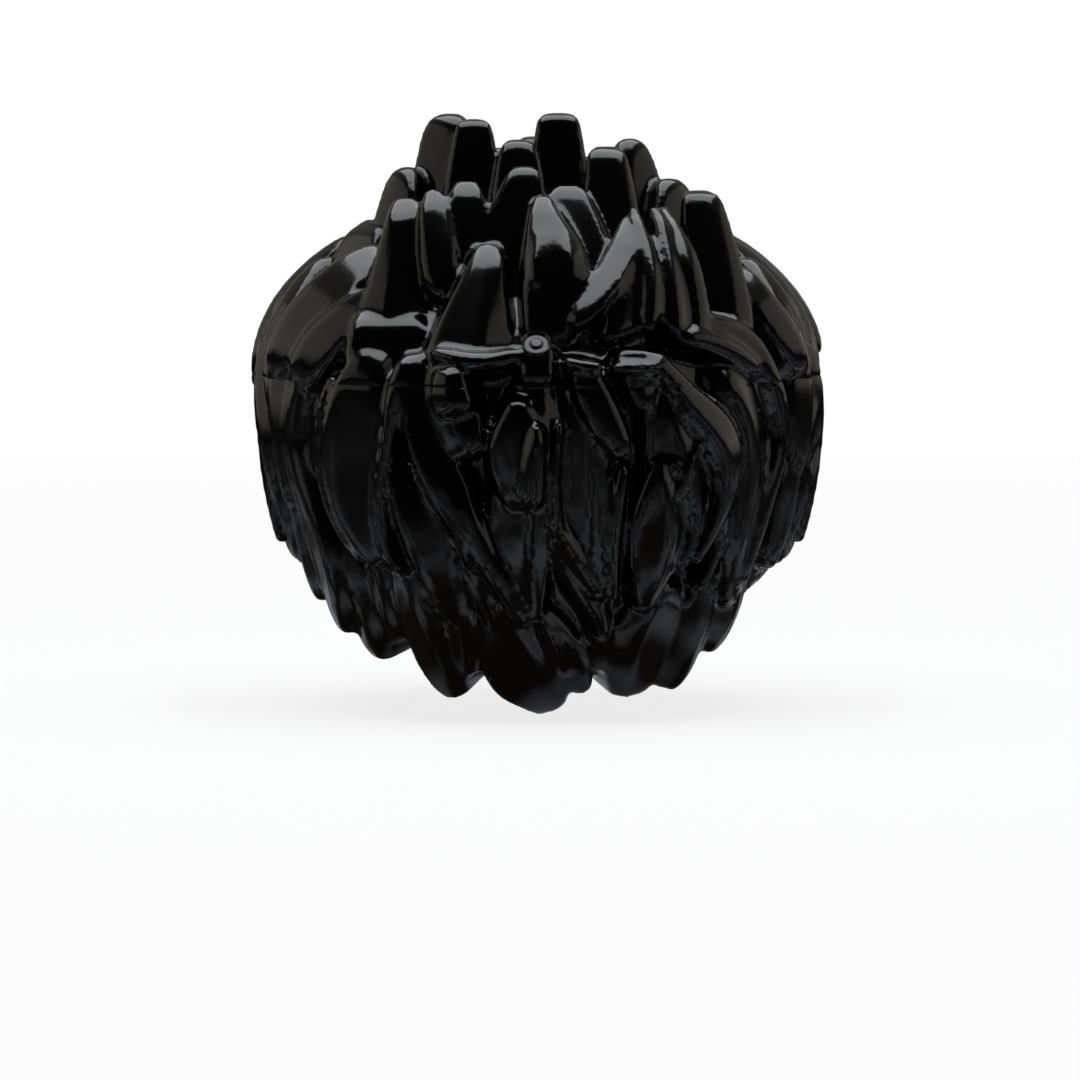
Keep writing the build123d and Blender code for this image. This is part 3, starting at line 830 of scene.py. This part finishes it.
below = (
    "nape_curl", "right_curl", "nape_slant", "nape_panel", "left_leaf", "right_lobe", "left_swell",
    "right_strip", "right_panel", "left_panel", "left_shoulder", "right_sweep", "left_hem_outer",
    "left_hem_middle", "left_hem_inner", "nape_hem", "right_hem_inner", "right_hem_middle",
    "right_hem_outer", "nape_hem_sides", "left_under_locks", "right_under_locks", "fringe_locks",
    "left_side_locks", "right_side_locks", "left_flank", "right_flank", "right_shoulder",
    "far_right_strip", "left_crescent", "left_ribbon", "right_hook", "right_slant", "left_stub",
)
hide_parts(*below)
above = [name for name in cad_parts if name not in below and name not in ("crown", "skirt")]
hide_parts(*above)


# ---------- Gate witness ----------
# Where the runner was snapped off, a small round scar is left on the lock over the nape:
# a shallow dish with a raised rim and a stub in its middle.
GATE_RADIUS = 0.4 * MM
GATE_LENGTH = 0.9 * MM
GATE_PLACE = Vector((-0.1, -7.47, 10.13)) * MM
GATE_TILT = math.radians(48)
GATE_EDGE = 0.025 * MM
RIM_WIDTH, RIM_SINK = 0.09, -0.07
DISH_WIDTH = 0.12
STUB_SLOPE, STUB_RISE = 0.05, 0.06
bpy.ops.object.select_all(action="DESELECT")
bpy.ops.mesh.primitive_cylinder_add(vertices=40, radius=GATE_RADIUS, depth=GATE_LENGTH, location=(0, 0, 0))
gate = bpy.context.object
gate.name = "gate_witness"
work = bmesh.new()
work.from_mesh(gate.data)
work.faces.ensure_lookup_table()
top = max(work.faces, key=lambda face: face.calc_center_median().z)
for inset, sink in ((RIM_WIDTH, RIM_SINK), (DISH_WIDTH, 0.0), (STUB_SLOPE, STUB_RISE)):
    bmesh.ops.inset_region(work, faces=[top], thickness=inset * MM, depth=0)
    bmesh.ops.translate(work, verts=top.verts[:], vec=(0, 0, sink * MM))
work.to_mesh(gate.data)
work.free()
edges = gate.modifiers.new("edges", "BEVEL")
edges.width = GATE_EDGE
edges.segments = 3
edges.limit_method = "ANGLE"
bpy.context.view_layer.objects.active = gate
bpy.ops.object.modifier_apply(modifier=edges.name)
bpy.ops.object.shade_smooth_by_angle(angle=math.radians(40))
gate.data.transform(Matrix.Translation(GATE_PLACE) @ Matrix.Rotation(GATE_TILT, 4, "X"))
gate.data.materials.append(outer_plastic)
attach(gate, "root")


# ---------- Floor, light and camera ----------
# A pale table top under a large softbox, seen almost level with the back of the head from far away.
# Where the glossy hair mirrors it, the table glows instead with a painted reflection: soft dark and pale
# painted patches that fall off into painted darkness, like a dark room, away from the hair.
FLOOR_SIZE = 3
bpy.ops.mesh.primitive_plane_add(size=FLOOR_SIZE, location=(0, 0, 0))
floor = bpy.context.object
floor.name = "floor"
table = bpy.data.materials.new("pale_table")
table.use_nodes = True
tree = table.node_tree
tree.nodes["Principled BSDF"].inputs["Base Color"].default_value = (0.8, 0.8, 0.8, 1)
tree.nodes["Principled BSDF"].inputs["Roughness"].default_value = 0.9
rays = Finish(tree).node("ShaderNodeLightPath", output="Is Camera Ray")
mirror = rays.node("ShaderNodeLightPath", output="Is Glossy Ray")
spot = rays.node("ShaderNodeTexCoord", output="Object")
reach = rays.node("ShaderNodeVectorMath", {"operation": "LENGTH"}, {0: spot}, output="Value")
fade = rays.node("ShaderNodeMapRange", {}, {"Value": reach, "From Min": 0.015, "From Max": 0.062})
plain = rays.node(
    "ShaderNodeMapRange",
    {},
    {"Value": reach, "From Min": 0.02, "From Max": 0.12, "To Min": 0.8, "To Max": 1.0},
)
glow = rays.node("ShaderNodeEmission", {}, {"Color": (1, 1, 1, 1), "Strength": 1.0})
surface = tree.nodes["Principled BSDF"].outputs["BSDF"]
# painted reflection: for glossy rays only, the table glows in dark and pale noise patches, fading to near
# black with distance
painted_patch_noise = rays.node(
    "ShaderNodeTexNoise", {}, {"Vector": spot, "Scale": 190.0, "Detail": 1.0, "Distortion": 0.3},
)
painted_patch_mask = rays.node("ShaderNodeMapRange", {}, {"Value": painted_patch_noise, "From Min": 0.46, "From Max": 0.63})
painted_reflection_patches = rays.node(
    "ShaderNodeMix",
    {"data_type": "RGBA"},
    {"Factor": painted_patch_mask, "A": (0.05, 0.042, 0.034, 1), "B": (0.56, 0.6, 0.66, 1)},
    output="Result",
)
painted_reflection_tone = rays.node(
    "ShaderNodeMix",
    {"data_type": "RGBA"},
    {"Factor": fade, "A": painted_reflection_patches, "B": (0.015, 0.015, 0.015, 1)},
    output="Result",
)
painted_reflection_glow = rays.node("ShaderNodeEmission", {}, {"Color": painted_reflection_tone, "Strength": 1.0})
first = rays.node("ShaderNodeMixShader", {}, {0: mirror, 1: Finish(tree, surface), 2: painted_reflection_glow})
second = rays.node("ShaderNodeMixShader", {}, {0: rays * plain, 1: first, 2: glow})
tree.links.new(second.socket, tree.nodes["Material Output"].inputs["Surface"])
floor.data.materials.append(table)

SOFTBOX_WIDTH = 0.13
SOFTBOX_HEIGHT = 0.11
SOFTBOX_RADIANCE = 3.3
bpy.ops.object.light_add(type="AREA", location=(0, 0, SOFTBOX_HEIGHT))
softbox = bpy.context.object
softbox.data.shape = "SQUARE"
softbox.data.size = SOFTBOX_WIDTH
softbox.data.energy = SOFTBOX_RADIANCE * math.pi * SOFTBOX_WIDTH**2
softbox.data.color = (0.92, 0.96, 1.0)
softbox.visible_camera = False

# tall, dimmer panels at both sides give the locks' upright edges their thin highlights
PANEL_DISTANCE = 0.16
PANEL_PLACE = (-0.03, 0.06)
PANEL_SIZE = (0.26, 0.16)
PANEL_RADIANCE = 0.42
for side in (-1, 1):
    bpy.ops.object.light_add(
        type="AREA",
        location=(side * PANEL_DISTANCE, *PANEL_PLACE),
        rotation=(math.pi / 2, 0, side * math.pi / 2),
    )
    panel = bpy.context.object
    panel.data.shape = "RECTANGLE"
    panel.data.size, panel.data.size_y = PANEL_SIZE
    panel.data.energy = PANEL_RADIANCE * math.pi * PANEL_SIZE[0] * PANEL_SIZE[1]
    panel.data.color = (1.0, 0.96, 0.87)
    panel.visible_camera = False

# the room: white where the camera looks, but in the hair's reflections dark behind the camera
# and dim beyond the hair
world = bpy.data.worlds.new("studio")
bpy.context.scene.world = world
world.use_nodes = True
tree = world.node_tree
background = tree.nodes["Background"]
rays = Finish(tree).node("ShaderNodeLightPath", output="Is Camera Ray")
heading = rays.node("ShaderNodeTexCoord", output="Generated")
parts = rays.node("ShaderNodeSeparateXYZ", {}, {0: heading}, output="Y")
behind = rays.node("ShaderNodeMapRange", {}, {"Value": parts, "From Min": -0.6, "From Max": 0.5})
room = rays.node(
    "ShaderNodeMix",
    {"data_type": "RGBA"},
    {"Factor": behind, "A": (0.012, 0.012, 0.012, 1), "B": (0.3, 0.29, 0.25, 1)},
    output="Result",
)
shade = rays.node(
    "ShaderNodeMix",
    {"data_type": "RGBA"},
    {"Factor": rays, "A": room, "B": (1, 1, 1, 1)},
    output="Result",
)
tree.links.new(shade.socket, background.inputs["Color"])

VIEW_DISTANCE = 0.25
VIEW_WIDTH = 0.03
VIEW_ELEVATION = math.radians(4)
VIEW_HEIGHT = 0.00456
middle = Vector((0, 0, VIEW_HEIGHT))
toward = Vector((0, -math.cos(VIEW_ELEVATION), math.sin(VIEW_ELEVATION)))
bpy.ops.object.camera_add(
    location=middle + toward * VIEW_DISTANCE,
    rotation=(math.pi / 2 - VIEW_ELEVATION, 0, 0),
)
camera = bpy.context.object
camera.data.sensor_width = 36
camera.data.lens = camera.data.sensor_width * VIEW_DISTANCE / VIEW_WIDTH
camera.data.clip_start = 0.01
camera.data.clip_end = 10
bpy.context.scene.camera = camera
bpy.context.scene.view_settings.view_transform = "Standard"
